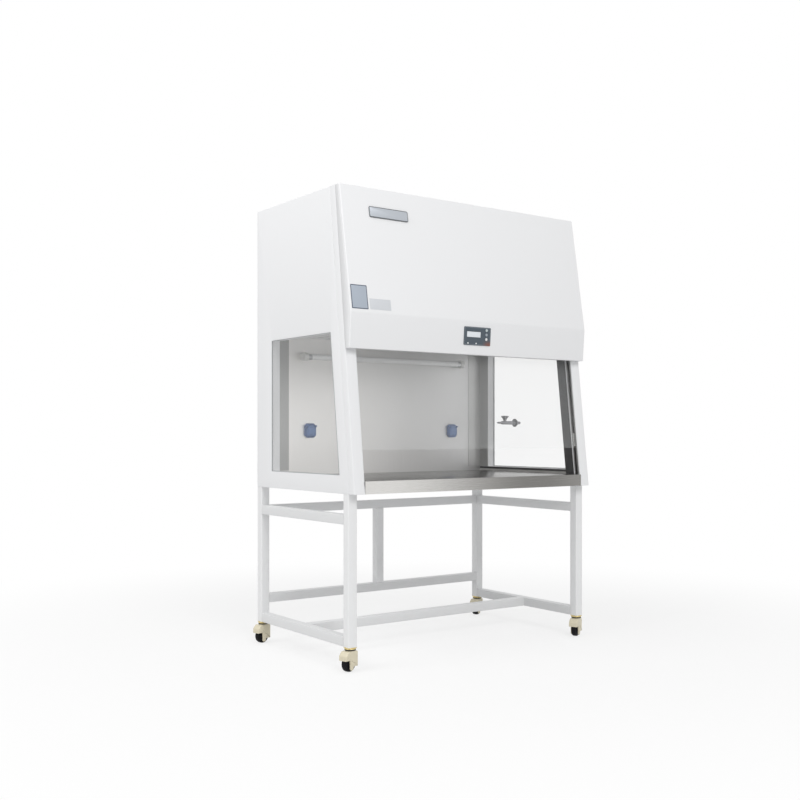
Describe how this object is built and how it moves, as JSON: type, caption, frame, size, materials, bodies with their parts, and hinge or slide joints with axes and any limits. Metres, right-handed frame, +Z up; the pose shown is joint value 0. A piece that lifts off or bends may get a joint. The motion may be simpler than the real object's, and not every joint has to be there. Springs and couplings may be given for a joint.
{
  "type": "vertical laminar flow cabinet",
  "caption": "Floor-standing vertical laminar flow cabinet on a wheeled tube stand, with a sliding slanted glass sash, side windows, sockets, gas tap and control panel.",
  "frame": {"origin": "on the floor under the middle of the whole object, casters included", "axes": "X runs across the cabinet, -Y is its front, +Z is up"},
  "size_m": [1.3587, 0.8069, 1.948],
  "materials": {
    "white_coat": "satin powder coat",
    "stainless": "brushed",
    "anodised": "satin anodised",
    "clear_glass": "polished",
    "tube_glass": "polished",
    "nylon": "matte",
    "filter_media": "matte",
    "galvanised": "galvanised",
    "motor_black": "satin",
    "axle_steel": "bright",
    "socket_blue": "semi gloss",
    "tap_grey": "satin",
    "panel_slate": "satin",
    "display_white": "polished",
    "key_grey": "matte",
    "board_green": "matte",
    "inlet_black": "matte",
    "race_zinc": "yellow zinc plate",
    "fork_cream": "satin",
    "tread_black": "matte"
  },
  "bodies": {
    "cabinet": {"back_panel": "white_coat", "back_post": "white_coat", "back_rails": "white_coat", "back_wall": "stainless", "base_pan": "white_coat", "caster_races": "race_zinc", "control_board": "board_green", "cross_rail": "white_coat", "diffuser": "white_coat", "fan_motor": "motor_black", "fan_scroll": "galvanised", "filter_deck": "white_coat", "filter_frame": "anodised", "filter_pack": "filter_media", "hood_cover": "white_coat", "intake_grille": "white_coat", "panel_bezel": "panel_slate", "panel_display": "display_white", "pillar_left": "white_coat", "pillar_right": "white_coat", "plenum_box": "galvanised", "power_inlet": "inlet_black", "prefilter": "filter_media", "sash_channel_left": "anodised", "sash_channel_right": "anodised", "side_liner_left": "stainless", "side_liner_right": "stainless", "side_panel_left": "white_coat", "side_panel_right": "white_coat", "side_rails": "white_coat", "side_window_left": "clear_glass", "side_window_right": "clear_glass", "socket_base_left": "socket_blue", "socket_base_right": "socket_blue", "stand_legs": "white_coat", "tap_body": "tap_grey", "top_panel": "white_coat", "uv_holders": "nylon", "uv_tube": "tube_glass", "work_lamp": "tube_glass", "work_table": "stainless"},
    "sash": {"sash_glass": "clear_glass", "sash_shoes": "nylon"},
    "fan_rotor": {"fan_impeller": "galvanised", "fan_shaft": "axle_steel"},
    "left_socket_lid": {"socket_lid_left": "socket_blue"},
    "right_socket_lid": {"socket_lid_right": "socket_blue"},
    "gas_knob": {"tap_knob": "tap_grey"},
    "key_upper": {"panel_key_1": "key_grey"},
    "key_middle": {"panel_key_2": "key_grey"},
    "key_lower": {"panel_key_3": "key_grey"},
    "fork_front_left": {"caster_fork_front_left": "fork_cream"},
    "wheel_front_left": {"caster_wheel_front_left": "tread_black"},
    "fork_front_right": {"caster_fork_front_right": "fork_cream"},
    "wheel_front_right": {"caster_wheel_front_right": "tread_black"},
    "fork_back_left": {"caster_fork_back_left": "fork_cream"},
    "wheel_back_left": {"caster_wheel_back_left": "tread_black"},
    "fork_back_right": {"caster_fork_back_right": "fork_cream"},
    "wheel_back_right": {"caster_wheel_back_right": "tread_black"}
  },
  "joints": [
    {"name": "sash_slide", "type": "slide", "parent": "cabinet", "child": "sash", "axis": [0, 0.1151, 0.9934], "range_m": [-0.122, 0.4]},
    {"name": "fan_spin", "type": "hinge", "parent": "cabinet", "child": "fan_rotor", "pos_m": [0, 0.07, 1.762], "axis": [1, 0, 0], "continuous": true},
    {"name": "left_lid_hinge", "type": "hinge", "parent": "cabinet", "child": "left_socket_lid", "pos_m": [-0.417, 0.3137, 0.978], "axis": [-1, 0, 0], "range_deg": [0, 110], "stiffness_Nm_per_rad": 0.01, "springref_deg": -17.19},
    {"name": "right_lid_hinge", "type": "hinge", "parent": "cabinet", "child": "right_socket_lid", "pos_m": [0.417, 0.3137, 0.978], "axis": [-1, 0, 0], "range_deg": [0, 110], "stiffness_Nm_per_rad": 0.01, "springref_deg": -17.19},
    {"name": "gas_knob_turn", "type": "hinge", "parent": "cabinet", "child": "gas_knob", "pos_m": [0.578, 0.102, 1.015], "axis": [0, 0, 1], "range_deg": [0, 90]},
    {"name": "key_upper_press", "type": "slide", "parent": "cabinet", "child": "key_upper", "axis": [0, 0.9974, 0.0715], "range_m": [0, 0.001], "stiffness_N_per_m": 800, "springref_m": -0.0004},
    {"name": "key_middle_press", "type": "slide", "parent": "cabinet", "child": "key_middle", "axis": [0, 0.9974, 0.0715], "range_m": [0, 0.001], "stiffness_N_per_m": 800, "springref_m": -0.0004},
    {"name": "key_lower_press", "type": "slide", "parent": "cabinet", "child": "key_lower", "axis": [0, 0.9974, 0.0715], "range_m": [0, 0.001], "stiffness_N_per_m": 800, "springref_m": -0.0004},
    {"name": "front_left_swivel", "type": "hinge", "parent": "cabinet", "child": "fork_front_left", "pos_m": [-0.63, -0.338, 0.08], "axis": [0, 0, 1], "continuous": true},
    {"name": "front_left_roll", "type": "hinge", "parent": "fork_front_left", "child": "wheel_front_left", "pos_m": [-0.63966, -0.34059, 0.0315], "axis": [-0.2588, 0.9659, 0], "continuous": true},
    {"name": "front_right_swivel", "type": "hinge", "parent": "cabinet", "child": "fork_front_right", "pos_m": [0.63, -0.338, 0.08], "axis": [0, 0, 1], "continuous": true},
    {"name": "front_right_roll", "type": "hinge", "parent": "fork_front_right", "child": "wheel_front_right", "pos_m": [0.62101, -0.34238, 0.0315], "axis": [-0.4384, 0.8988, 0], "continuous": true},
    {"name": "back_left_swivel", "type": "hinge", "parent": "cabinet", "child": "fork_back_left", "pos_m": [-0.63, 0.378, 0.08], "axis": [0, 0, 1], "continuous": true},
    {"name": "back_left_roll", "type": "hinge", "parent": "fork_back_left", "child": "wheel_back_left", "pos_m": [-0.63978, 0.37592, 0.0315], "axis": [-0.2079, 0.9781, 0], "continuous": true},
    {"name": "back_right_swivel", "type": "hinge", "parent": "cabinet", "child": "fork_back_right", "pos_m": [0.63, 0.378, 0.08], "axis": [0, 0, 1], "continuous": true},
    {"name": "back_right_roll", "type": "hinge", "parent": "fork_back_right", "child": "wheel_back_right", "pos_m": [0.6206, 0.37458, 0.0315], "axis": [-0.342, 0.9397, 0], "continuous": true}
  ]
}
